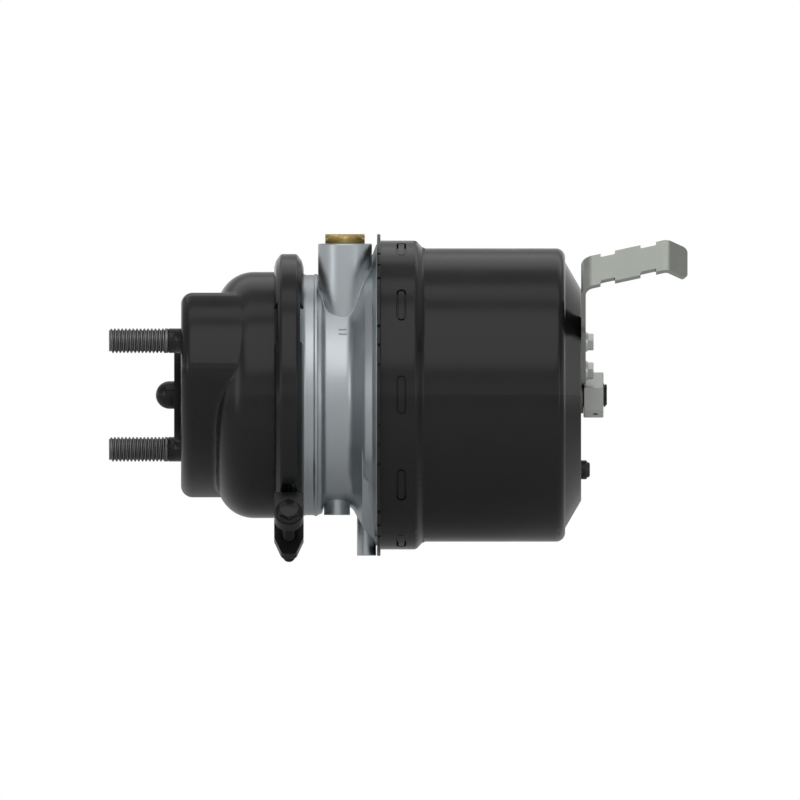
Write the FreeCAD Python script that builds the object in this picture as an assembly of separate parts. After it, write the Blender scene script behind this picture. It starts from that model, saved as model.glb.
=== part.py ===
import FreeCAD, Part
import math
import os

# Combined service and spring brake chamber for a disc brake.
# Millimetres. The origin is the centre of the mounting face, on the push rod's axis.
# +X runs from the mounting face to the rear of the spring housing, and +Z is up.
# A polar angle is counted round the X axis: 0 is toward -Y and 90 is up.

# Working values of the whole chamber
stroke = 57.0
running_clearance = 0.06
fixed_clearance = 0.05
free_clearance = 0.3

# Service housing, pressed from sheet
service_wall = 3.5
front_wall = 4.0
bell_r = 80.0
pad_length = 2 * bell_r - 3.0
pad_end_r = 67.0
pad_half_width = 48.6
pad_side_r = 160.0
pad_corner_r = 16.0
pad_edge_r = 7.6
pad_valley_r = 4.0
bell_front_x = 23.5
bell_corner_r = 24.0
pad_depth = bell_front_x + bell_corner_r - 4.0
service_length = 68.15
rod_opening_r = 24.0
vent_r = 4.0
vent_x = bell_front_x + 30.0
vent_polars = (140.0, 215.0)

# Mounting studs
stud_spacing = 120.65
stud_line_polar = 35.8
stud_r = 8.0
stud_length = 46.8
stud_chamfer = 1.4
stud_neck_r = stud_r + 0.4
stud_head_r = 12.5
stud_head_height = 5.0
stud_hole_clearance = 0.1

# Clamped joint between the two housings
flange_r = bell_r + 8.4
flange_thickness = 2.6
flange_slope = 2.6
bead_thickness = 4.0
service_flange_x = service_length
clamp_mid_x = service_flange_x + bead_thickness / 2
adapter_face_x = service_flange_x + bead_thickness
clamp_sheet = 3.0
clamp_crown_r = flange_r + free_clearance + clamp_sheet
clamp_shoulder_r = clamp_crown_r - 4.5
clamp_rim_r = bell_r + 2.0
clamp_crown_half_width = bead_thickness / 2 + flange_thickness + 0.6
clamp_shoulder_half_width = clamp_crown_half_width + 3.2
clamp_rim_half_width = clamp_shoulder_half_width + 1.45
relief_half_width = clamp_crown_half_width + 2.3
relief_span = 20.0
slot_width = 9.1
slot_polar = -47.5
slot_span = 8.5
closure_polar = -57.0
closure_gap = 21.0
closure_shift = 2.5
ear_width = 19.2
ear_tip_width = 9.0
ear_taper_r = clamp_crown_r + 13.3
ear_tip_r = clamp_crown_r + 26.3
near_ear = 8.0
far_ear = 6.0

# Clamp bolt and nut
clamp_bolt_r = 4.0
clamp_bolt_line_r = clamp_crown_r + 13.0
clamp_bolt_tail = 30.5
hex_across_flats = 13.0
hex_head_height = 5.5
hex_nut_height = 6.5
washer_r = 8.0
washer_height = 1.6

# Spring housing, pressed from sheet
adapter_length = 55.25
seat_x = adapter_face_x + adapter_length
spring_wall = 2.5
spring_r = 95.35
band_r = spring_r + 5.05
lip_r = band_r + 4.3
lip_thickness = 2.3
lip_notch_width = 2.2
lip_notch_pitch = 7.4
band_end_x = seat_x + 25.4
spring_start_x = band_end_x + 4.7
spring_length = 122.3
spring_end_x = seat_x + spring_length
spring_corner_r = 6.0
step_r = spring_r - 8.85
rear_r = spring_r - 26.75
rear_x = spring_end_x + 10.4
pocket_count = 10
pocket_x = seat_x + 15.8
pocket_width = 6.2
pocket_length = 25.0
pocket_depth = 2.0

# Cast adapter between the chambers
barrel_r = bell_r - 1.9
barrel_end_x = adapter_face_x + 19.45
bead_x = barrel_end_x - 3.9
waist_r = 71.9
waist_x = barrel_end_x + 1.8
cone_x = seat_x - 16.9
adapter_flange_x = seat_x - 2.8
adapter_flange_r = band_r - 2.7
spigot_r = band_r - spring_wall - free_clearance
spigot_wall = 6.6
spigot_end_x = seat_x + 23.6
ring_groove_x = seat_x + 4.1
ring_groove_width = 4.4
ring_groove_depth = 3.2
web_front_x = adapter_face_x + 26.25
web_thickness = 13.1
web_rear_x = web_front_x + web_thickness
bowl_r = bell_r - 3.4
bowl_taper = 3.0
bowl_turn_x = web_front_x - 12.4
bowl_knee_x = web_front_x - 4.4
bowl_knee_r = waist_r - 6.9
bowl_floor_r = waist_r - 11.9

# Push tube, and the hub that it slides in
spindle_head_r = 12.4
tube_bore_r = spindle_head_r + 0.6
tube_wall = 4.0
tube_r = tube_bore_r + tube_wall
tube_seal_r = 1.8
hub_bore_r = tube_r + 4.0
hub_wall = 6.0
hub_r = hub_bore_r + hub_wall
hub_rear_x = web_rear_x + 16.5
bush_x = web_front_x + 6.6
bush_length = 14.0
snap_ring_height = 2.0
tube_cap_height = 4.0
tube_front_x = web_front_x + 2 * fixed_clearance + tube_cap_height

# Ports of the adapter
port_x = seat_x - 20.8
port_offset = 34.0
port_boss_r = 17.5
port_boss_top = adapter_flange_r + 0.7
fitting_across_flats = 25.7
fitting_height = 6.2
fitting_bore_r = 7.2
fitting_bore_depth = 12.0
fitting_thread_r = 11.0
fitting_thread_length = 14.0
breather_boss_r = 8.45
breather_boss_x = seat_x - 26.0
breather_boss_offset = 15.0
breather_boss_end = waist_r + 6.1
breather_pipe_r = 6.2
breather_pipe_x = seat_x - 6.8
breather_pipe_end = adapter_flange_r + 6.7
breather_pipe_bore_r = 4.0
breather_bore_depth = 14.0

# Push rod, pressure plate and diaphragm
rod_r = 9.0
rod_reach = 16.4
rod_collar_r = rod_r + 6.0
rod_collar_height = 4.0
diaphragm_sheet = 3.0
plate_sheet = 3.0
plate_x = web_front_x - free_clearance - diaphragm_sheet - 2 * fixed_clearance - plate_sheet
plate_r = bowl_floor_r - 4.0
plate_rim = 6.0

# Springs
power_wire_r = 6.0
power_front_r = 52.0
power_rear_r = 58.0
power_turns = 5.0
return_wire_r = 2.3
return_front_r = pad_half_width - service_wall - 5.5
return_rear_r = 30.0
return_turns = 5.0

# Rod boot and face seal
seal_r = rod_opening_r + 6.4
seal_recess_depth = 0.5
seal_height = 4.5
seal_groove_r = rod_opening_r + 1.5
seal_bore_r = rod_opening_r - 1.6
seal_web = 2.2
retainer_sheet = 1.5
retainer_flange_r = return_front_r - 6.0
retainer_r = rod_opening_r + 1.5
retainer_rim_r = retainer_r - 6.5
retainer_end_x = bell_front_x
boot_sheet = 1.4
boot_lead = 2.4
boot_waves = 4
boot_outer_r = retainer_r - 5.5
boot_inner_r = rod_r + 3.0

# Spring piston
piston_gap = 1.0
piston_sheet = 5.0
piston_front_gap = 2.5
piston_floor_x = web_rear_x + stroke + piston_front_gap
piston_floor_r = waist_r - 10.9
skirt_r = spring_r - spring_wall - piston_gap
piston_shoulder_r = skirt_r - 7.85
piston_well_r = hub_r + 6.5
piston_well_depth = 17.0
piston_skirt_x = piston_floor_x + 46.0
piston_skirt_length = 17.0
seal_groove_at = 3.5
lip_seal_width = 5.0
lip_seal_depth = 4.3
guide_groove_at = 12.0
guide_width = 3.2
guide_depth = 1.5
tube_rear_x = piston_floor_x + piston_well_depth + 34.0

# Release screw
spindle_r = 7.95
spindle_tail = 16.7
spindle_end_x = rear_x + spindle_tail
spindle_head_x = tube_front_x + 4.0
spindle_head_height = 8.0
thrust_washer_height = 3.0
stop_bush_length = 8.0
collar_r = spindle_r + 4.05
collar_height = 1.4
bush_boss_height = 14.0
bush_flange_height = 4.0
release_across_flats = 26.0
release_nut_x = rear_x + collar_height + 2 * fixed_clearance
release_nut_height = 13.0
release_nut_polar = -11.8
pin_r = 1.7
pin_x = release_nut_x + 7.7

# Rear plug, hose bracket and its screws
rear_plug_z = -48.6
rear_plug_r = 6.2
rear_plug_shank_r = 4.0
rear_plug_height = 5.7
bracket_sheet = 3.0
bracket_polar = 40.0
bracket_width = 25.4
bracket_foot_r = 9.0
bracket_widening = 74.0
bracket_bend_r = 10.4
bracket_bend_start = spring_r + 20.65
bracket_bend_angle = 71.5
bracket_arm_length = 48.6
bracket_tip_turn = 54.0
bracket_tip_length = 13.0
bracket_tip_bend_r = 6.0
bracket_notch_depth = 2.8
bracket_notches = ((12.6, 22.0), (38.6, 48.7))
screw_places = (release_across_flats / 2 + 11.5, 53.6)
screw_across_flats = 10.0
screw_flange_r = 6.5
screw_head_height = 5.1
screw_r = 3.0

ORIGIN = FreeCAD.Vector(0, 0, 0)
X_AXIS = FreeCAD.Vector(1, 0, 0)
Z_AXIS = FreeCAD.Vector(0, 0, 1)


def direction(polar):
    """Unit vector that points away from the axis at a polar angle."""
    angle = math.radians(polar)
    return FreeCAD.Vector(0, -math.cos(angle), math.sin(angle))


def rounded_wire(corners):
    """Closed wire through (point, corner radius) pairs, each corner rounded by its radius."""
    count = len(corners)
    turns = []
    for i, (corner, radius) in enumerate(corners):
        if radius <= 0:
            turns.append((corner, None, corner))
            continue
        back = (corners[i - 1][0] - corner).normalize()
        ahead = (corners[(i + 1) % count][0] - corner).normalize()
        half_angle = back.getAngle(ahead) / 2
        reach = radius / math.tan(half_angle)
        crest = corner + (back + ahead).normalize() * (radius / math.sin(half_angle) - radius)
        turns.append((corner + back * reach, crest, corner + ahead * reach))
    edges = []
    for i, (start, crest, end) in enumerate(turns):
        if crest is not None:
            edges.append(Part.Arc(start, crest, end).toShape())
        following = turns[(i + 1) % count][0]
        if end.distanceToPoint(following) > 1e-6:
            edges.append(Part.LineSegment(end, following).toShape())
    return Part.Wire(edges)


def outside_out(shape):
    """The solid, with its faces pointing outward."""
    if shape.Volume < 0:
        shape.reverse()
    return shape


def turned(profile, degrees=360.0, start_polar=0.0):
    """Solid turned round the X axis from (x, radius, corner radius) points."""
    side = direction(start_polar)
    wire = rounded_wire([(X_AXIS * x + side * r, corner) for x, r, corner in profile])
    # a growing polar angle turns from -Y to +Z, which is clockwise seen from +X
    return outside_out(Part.Face(wire).revolve(ORIGIN, X_AXIS * -1, degrees))


def sheet_outline(path, thickness):
    """Outline of bent sheet: a path of (a, b, bend radius) points and its copy to the left."""
    points = [(a, b) for a, b, _ in path]
    runs = []
    for (a0, b0), (a1, b1) in zip(points, points[1:]):
        length = math.hypot(a1 - a0, b1 - b0)
        runs.append(((a1 - a0) / length, (b1 - b0) / length))
    other = []
    for i, (a, b, bend) in enumerate(path):
        before = runs[max(i - 1, 0)]
        after = runs[min(i, len(runs) - 1)]
        spread = 1 + before[0] * after[0] + before[1] * after[1]
        shift_a = -(before[1] + after[1]) / spread * thickness
        shift_b = (before[0] + after[0]) / spread * thickness
        left_turn = before[0] * after[1] - before[1] * after[0] > 0
        if bend > 0:
            bend = max(bend - thickness, 0.2) if left_turn else bend + thickness
        other.append((a + shift_a, b + shift_b, bend))
    return path + other[::-1]


def prism(corners, thickness):
    """Solid pushed along a vector from a flat outline of (point, corner radius) pairs."""
    return outside_out(Part.Face(rounded_wire(corners)).extrude(thickness))


def rod(radius, start, end):
    """Round bar between two points."""
    run = end - start
    return Part.makeCylinder(radius, run.Length, start, run)


def hexagon(across_flats, start, height, face_normal):
    """Hexagonal prism along a vector, with one flat facing face_normal."""
    along = FreeCAD.Vector(height).normalize()
    second = along.cross(face_normal)
    corner_r = across_flats / math.sqrt(3)
    corners = []
    for i in range(6):
        angle = math.radians(30 + 60 * i)
        corners.append((start + face_normal * (corner_r * math.cos(angle))
                        + second * (corner_r * math.sin(angle)), 0))
    return prism(corners, height)


def hex_head(across_flats, start, height, face_normal):
    """Hexagon whose far corners are turned off to a cone, as on a bolt head or nut."""
    end_r = across_flats / 2 * 0.97
    start_r = end_r + height.Length * math.tan(math.radians(60))
    cone = Part.makeCone(start_r, end_r, height.Length, start, height)
    return hexagon(across_flats, start, height, face_normal).common(cone)


def fused(shapes):
    """One solid from several that meet or overlap."""
    result = shapes[0]
    for shape in shapes[1:]:
        result = result.fuse(shape)
    return result.removeSplitter()


def coil(wire_r, start_r, end_r, start_x, end_x, turns):
    """Round wire wound round the X axis at an even pitch."""
    pitch = (end_x - start_x - 2 * wire_r) / turns
    height = pitch * turns
    slope = math.degrees(math.atan((end_r - start_r) / height))
    helix = Part.makeHelix(pitch, height, start_r, slope)
    section = Part.Wire(Part.makeCircle(wire_r, FreeCAD.Vector(start_r, 0, 0), FreeCAD.Vector(0, 1, 0)))
    solid = Part.Wire(helix).makePipeShell([section], True, True)
    solid.rotate(ORIGIN, FreeCAD.Vector(0, 1, 0), 90)
    solid.translate(X_AXIS * (start_x + wire_r))
    return outside_out(solid)


def save(name, shape):
    """Write one sub-part."""
    shape.exportStep("parts/" + name + ".step")


# Directions of the stud line and across it
along_studs = direction(stud_line_polar)
across_studs = direction(stud_line_polar - 90)


def pad_outline(x, inset):
    """Outline of the mounting pad at a height x: crowned sides, round ends and soft corners."""
    end_centre = pad_length / 2 - pad_end_r
    side_centre = pad_half_width - pad_side_r
    end_r = pad_end_r - inset
    side_r = pad_side_r - inset
    corner_r = pad_corner_r - inset
    reach_end = pad_end_r - pad_corner_r
    reach_side = pad_side_r - pad_corner_r
    # the corner's centre lies reach_end from the end's centre and reach_side from the side's
    span = math.hypot(end_centre, side_centre)
    toward = (span ** 2 + reach_end ** 2 - reach_side ** 2) / (2 * span)
    away = math.sqrt(reach_end ** 2 - toward ** 2)
    unit_a = (-end_centre / span, side_centre / span)
    corner_a = end_centre + unit_a[0] * toward - unit_a[1] * away
    corner_b = unit_a[1] * toward + unit_a[0] * away
    if corner_b < 0:
        corner_a = end_centre + unit_a[0] * toward + unit_a[1] * away
        corner_b = unit_a[1] * toward - unit_a[0] * away
    end_a = end_centre + (corner_a - end_centre) * end_r / reach_end
    end_b = corner_b * end_r / reach_end
    side_a = corner_a * side_r / reach_side
    side_b = side_centre + (corner_b - side_centre) * side_r / reach_side
    out_a = (end_a - corner_a) + (side_a - corner_a)
    out_b = (end_b - corner_b) + (side_b - corner_b)
    out = math.hypot(out_a, out_b)
    crest_a = corner_a + out_a / out * corner_r
    crest_b = corner_b + out_b / out * corner_r

    def point(a, b):
        return X_AXIS * x + along_studs * a + across_studs * b

    edges = []
    for sign in (1, -1):
        edges.append(Part.Arc(point(sign * end_a, -sign * end_b), point(sign * (end_centre + end_r), 0),
                              point(sign * end_a, sign * end_b)))
        edges.append(Part.Arc(point(sign * end_a, sign * end_b), point(sign * crest_a, sign * crest_b),
                              point(sign * side_a, sign * side_b)))
        edges.append(Part.Arc(point(sign * side_a, sign * side_b), point(0, sign * (side_centre + side_r)),
                              point(-sign * side_a, sign * side_b)))
        edges.append(Part.Arc(point(-sign * side_a, sign * side_b), point(-sign * crest_a, sign * crest_b),
                              point(-sign * end_a, sign * end_b)))
    return Part.Wire([edge.toShape() for edge in edges])


def pad_block(front_x, back_x, inset):
    """The mounting pad's body, with its front edge rounded."""
    block = outside_out(Part.Face(pad_outline(front_x, inset)).extrude(X_AXIS * (back_x - front_x)))
    front = [edge for edge in block.Edges if edge.BoundBox.XMax < front_x + 0.01]
    return block.makeFillet(pad_edge_r - inset, front)


def service_housing():
    """Pressed cup: a mounting pad that stands out of a round bell with a rolled flange."""
    flange_front = service_flange_x - flange_thickness
    bell = turned([
        (bell_front_x, 0, 0),
        (bell_front_x, bell_r, bell_corner_r),
        (flange_front - flange_slope - 1.2, bell_r, 2.0),
        (flange_front, flange_r, 0.6),
        (service_flange_x, flange_r, 0),
        (service_flange_x, 0, 0),
    ])
    pad = pad_block(0.0, pad_depth, 0.0)
    outer = bell.fuse(pad)
    valley = []
    for edge in outer.Edges:
        middle = edge.valueAt((edge.FirstParameter + edge.LastParameter) / 2)
        vertex = Part.Vertex(middle)
        if bell_front_x - 0.1 < middle.x < pad_depth - 0.5:
            on_pad = pad.Shells[0].distToShape(vertex)[0] < 0.01
            on_bell = bell.Shells[0].distToShape(vertex)[0] < 0.01
            if on_pad and on_bell:
                valley.append(edge)
    outer = outer.makeFillet(pad_valley_r, valley)
    hollow = turned([
        (bell_front_x + service_wall, 0, 0),
        (bell_front_x + service_wall, bell_r - service_wall, bell_corner_r - service_wall),
        (service_flange_x + 1, bell_r - service_wall, 0),
        (service_flange_x + 1, 0, 0),
    ])
    pad_hollow = pad_block(front_wall, pad_depth, service_wall)
    shell = outer.cut(hollow.fuse(pad_hollow))
    holes = [
        rod(rod_opening_r, X_AXIS * -1, X_AXIS * (front_wall + 1)),
        rod(seal_r + 0.8, X_AXIS * -1, X_AXIS * seal_recess_depth),
    ]
    for sign in (1, -1):
        place = along_studs * (sign * stud_spacing / 2)
        hole_r = stud_neck_r + stud_hole_clearance
        holes.append(rod(hole_r, place - X_AXIS, place + X_AXIS * (front_wall + 1)))
    for polar in vent_polars:
        side = direction(polar)
        foot = X_AXIS * vent_x
        holes.append(rod(vent_r, foot + side * (bell_r - 8), foot + side * (bell_r + 3)))
    for hole in holes:
        shell = shell.cut(hole)
    return shell


def mounting_studs():
    """Two studs whose round heads are welded to the inside of the pad."""
    stud = turned([
        (-stud_length, 0, 0),
        (-stud_length, stud_r - stud_chamfer, 0),
        (-stud_length + stud_chamfer, stud_r, 0),
        (0, stud_r, 0),
        (0, stud_neck_r, 0),
        (front_wall, stud_neck_r, 0),
        (front_wall, stud_head_r, 0.8),
        (front_wall + stud_head_height, stud_head_r, 1.5),
        (front_wall + stud_head_height, 0, 0),
    ])
    pair = []
    for sign in (1, -1):
        outward = along_studs * sign
        one = stud.copy()
        one.translate(outward * (stud_spacing / 2))
        # the head's outer side is flat, clear of the pad's rounded edge
        corner = X_AXIS * front_wall + outward * (pad_length / 2 - pad_edge_r) - across_studs * stud_head_r
        beyond = prism([
            (corner, 0),
            (corner + X_AXIS * (stud_head_height + 1), 0),
            (corner + X_AXIS * (stud_head_height + 1) + across_studs * (2 * stud_head_r), 0),
            (corner + across_studs * (2 * stud_head_r), 0),
        ], outward * stud_head_r)
        pair.append(one.cut(beyond))
    return Part.makeCompound(pair)


def mounting_face_seal():
    """Rubber ring that snaps into the rod opening and seals against the caliper."""
    neck_r = rod_opening_r - 0.2
    barb_r = neck_r + 1.5
    return turned([
        (-seal_height, seal_groove_r, 1.2),
        (-seal_height, seal_r, 1.2),
        (seal_recess_depth, seal_r, 0.4),
        (seal_recess_depth, neck_r, 0),
        (front_wall, neck_r, 0),
        (front_wall, barb_r, 0.4),
        (front_wall + 1.4, barb_r, 0.4),
        (front_wall + 1.4, seal_bore_r, 0.4),
        (-seal_web, seal_bore_r, 0.4),
        (-seal_web, seal_groove_r, 0.4),
    ])


def boot_retainer():
    """Pressed sleeve, welded inside the front wall, that holds the rod boot's outer end."""
    return turned(sheet_outline([
        (front_wall, retainer_flange_r, 0),
        (front_wall, retainer_r, 2.0),
        (retainer_end_x, retainer_r, 1.0),
        (retainer_end_x, retainer_rim_r, 0),
    ], retainer_sheet))


def rod_boot():
    """Rubber bellows from a groove near the rod's tip to the retainer's rim."""
    sleeve_r = rod_r + free_clearance
    pitch = (retainer_end_x - boot_sheet - 2 * boot_lead) / boot_waves
    path = [(-boot_lead - 1.0, sleeve_r, 0), (boot_lead / 2, sleeve_r, 0.6)]
    for wave in range(boot_waves):
        crest_x = boot_lead + pitch * (wave + 0.4)
        path.append((crest_x, boot_outer_r - boot_sheet, 0.6))
        path.append((crest_x + pitch / 2, boot_inner_r, 0.6))
    flange_x = retainer_end_x - boot_sheet - 0.1
    path.append((flange_x + boot_sheet, boot_inner_r, 1.5))
    path.append((flange_x + boot_sheet, retainer_r - 1.2, 0))
    return turned(sheet_outline(path, boot_sheet))


def push_rod():
    """Steel rod with a ball end, a groove for the boot and a welded collar for the plate."""
    return turned([
        (-rod_reach, 0, 0),
        (-rod_reach, rod_r, rod_r - 0.01),
        (plate_x - rod_collar_height, rod_r, 0.5),
        (plate_x - rod_collar_height, rod_collar_r, 0.8),
        (plate_x, rod_collar_r, 0),
        (plate_x, 0, 0),
    ])


def pressure_plate():
    """Pressed dish that carries the rod and lies on the diaphragm."""
    return turned([
        (plate_x, 0, 0),
        (plate_x, plate_r - plate_rim, 3.0),
        (plate_x - plate_rim, plate_r, 1.0),
        (plate_x - plate_rim + 1.5, plate_r + plate_sheet - 1.0, 1.0),
        (plate_x + plate_sheet, plate_r - plate_rim + 1.2, 4.0),
        (plate_x + plate_sheet, 0, 0),
    ])


def service_diaphragm():
    """Rubber cup whose thick edge is clamped between the flanges."""
    gap = free_clearance
    back_x = web_front_x - gap
    front_x = back_x - diaphragm_sheet
    edge_r = flange_r - 0.4
    wall_r = bowl_r - 2 * gap
    return turned([
        (service_flange_x, edge_r, 0.5),
        (adapter_face_x, edge_r, 0.5),
        (adapter_face_x, wall_r, 0),
        (bowl_turn_x - gap, bowl_r - bowl_taper - gap, 5.0),
        (bowl_knee_x - gap, bowl_knee_r - gap, 4.0),
        (back_x, bowl_floor_r - gap, 4.0),
        (back_x, 0, 0),
        (front_x, 0, 0),
        (front_x, bowl_floor_r - 1.6, 2.0),
        (bowl_knee_x - 2.4, bowl_knee_r - 2.6, 4.0),
        (bowl_turn_x - 1.8, wall_r - bowl_taper - diaphragm_sheet, 4.0),
        (adapter_face_x - 1, wall_r - diaphragm_sheet, 3.0),
        (service_flange_x, wall_r - 0.3, 1.5),
    ])


def return_spring():
    """Conical coil that pushes the pressure plate back to the adapter."""
    return coil(return_wire_r, return_front_r, return_rear_r, front_wall, plate_x, return_turns)


def clamp_place(polar, along, out, x):
    """Point near the closure: x along the axis, out along its radius and along the bolt."""
    return X_AXIS * x + direction(polar) * out + direction(polar + 90) * along


def clamp_band():
    """Channel band round both flanges, cut away at three gaps, with ears for the bolt."""
    mid = clamp_mid_x
    flange_half = bead_thickness / 2 + flange_thickness
    inner_crown_r = flange_r + free_clearance
    inner_crown_half = flange_half + free_clearance
    drop = (inner_crown_r - clamp_rim_r) / (flange_r - bell_r)
    inner_rim_half = inner_crown_half + (flange_slope + 1.2) * drop
    near_gap = closure_shift + closure_gap / 2
    far_gap = closure_shift - closure_gap / 2
    start_polar = closure_polar + math.degrees(near_gap / clamp_crown_r)
    span = 360 - math.degrees(closure_gap / clamp_crown_r)
    band = turned([
        (mid - clamp_rim_half_width, clamp_rim_r, 0.8),
        (mid - clamp_shoulder_half_width, clamp_shoulder_r, 2.5),
        (mid - clamp_crown_half_width, clamp_crown_r, 2.5),
        (mid + clamp_crown_half_width, clamp_crown_r, 2.5),
        (mid + clamp_shoulder_half_width, clamp_shoulder_r, 2.5),
        (mid + clamp_rim_half_width, clamp_rim_r, 0.8),
        (mid + inner_rim_half, clamp_rim_r, 0.5),
        (mid + inner_crown_half, inner_crown_r, 0.5),
        (mid - inner_crown_half, inner_crown_r, 0.5),
        (mid - inner_rim_half, clamp_rim_r, 0.5),
    ], span, start_polar)
    for quarter in range(1, 4):
        start = closure_polar + 90 * quarter - relief_span / 2
        for side in (1, -1):
            band = band.cut(turned([
                (mid + side * relief_half_width, clamp_rim_r - 2, 0),
                (mid + side * relief_half_width, clamp_crown_r + 2, 0),
                (mid + side * (clamp_rim_half_width + 2), clamp_crown_r + 2, 0),
                (mid + side * (clamp_rim_half_width + 2), clamp_rim_r - 2, 0),
            ], relief_span, start))
        band = band.cut(turned([
            (mid - relief_half_width - 1, clamp_rim_r - 2, 0),
            (mid - relief_half_width - 1, inner_crown_r, 0),
            (mid + relief_half_width + 1, inner_crown_r, 0),
            (mid + relief_half_width + 1, clamp_rim_r - 2, 0),
        ], relief_span, start))
    band = band.cut(turned([
        (mid - slot_width / 2, inner_crown_r - 4, 0),
        (mid - slot_width / 2, clamp_crown_r + 2, 0),
        (mid + slot_width / 2, clamp_crown_r + 2, 0),
        (mid + slot_width / 2, inner_crown_r - 4, 0),
    ], slot_span, slot_polar))
    half = ear_width / 2
    foot_r = inner_crown_r + 0.2
    round_end_r = clamp_bolt_line_r + half
    round_ear = [
        (-half, foot_r, 0),
        (-half, round_end_r, half - 0.01),
        (half, round_end_r, half - 0.01),
        (half, foot_r, 0),
    ]
    pointed_ear = [
        (-half, foot_r, 0),
        (-half, ear_taper_r, 3.0),
        (-ear_tip_width / 2, ear_tip_r, 3.5),
        (ear_tip_width / 2, ear_tip_r, 3.5),
        (half, ear_taper_r, 3.0),
        (half, foot_r, 0),
    ]
    ears = []
    for along, thickness, corners in ((near_gap, near_ear, round_ear),
                                      (far_gap - far_ear, far_ear, pointed_ear)):
        outline = [(clamp_place(closure_polar, along, out, mid + across), corner)
                   for across, out, corner in corners]
        ears.append(prism(outline, direction(closure_polar + 90) * thickness))
    band = fused([band] + ears)
    start = clamp_place(closure_polar, far_gap - far_ear - 1, clamp_bolt_line_r, mid)
    end = clamp_place(closure_polar, near_gap + near_ear + 1, clamp_bolt_line_r, mid)
    return band.cut(rod(clamp_bolt_r + 0.2, start, end))


def clamp_bolt():
    """Hexagon bolt that draws the band's ears together."""
    seat = closure_shift + closure_gap / 2 + near_ear
    tangent = direction(closure_polar + 90)
    under_head = clamp_place(closure_polar, seat, clamp_bolt_line_r, clamp_mid_x)
    tail = clamp_place(closure_polar, -clamp_bolt_tail, clamp_bolt_line_r, clamp_mid_x)
    head = hex_head(hex_across_flats, under_head, tangent * hex_head_height, X_AXIS)
    shank = rod(clamp_bolt_r, tail, under_head)
    end = [edge for edge in shank.Edges if edge.BoundBox.Center.distanceToPoint(tail) < 0.1]
    return fused([head, shank.makeChamfer(0.8, end)])


def clamp_nut():
    """Nut and washer outside the far ear."""
    seat = closure_shift - closure_gap / 2 - far_ear
    tangent = direction(closure_polar + 90)
    ear_face = clamp_place(closure_polar, seat, clamp_bolt_line_r, clamp_mid_x)
    washer_end = ear_face - tangent * washer_height
    nut_end = washer_end - tangent * hex_nut_height
    bore = rod(clamp_bolt_r + fixed_clearance, nut_end - tangent, ear_face + tangent)
    nut = hex_head(hex_across_flats, washer_end, tangent * -hex_nut_height, X_AXIS).cut(bore)
    washer = rod(washer_r, washer_end, ear_face).cut(bore)
    return Part.makeCompound([nut, washer])


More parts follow.
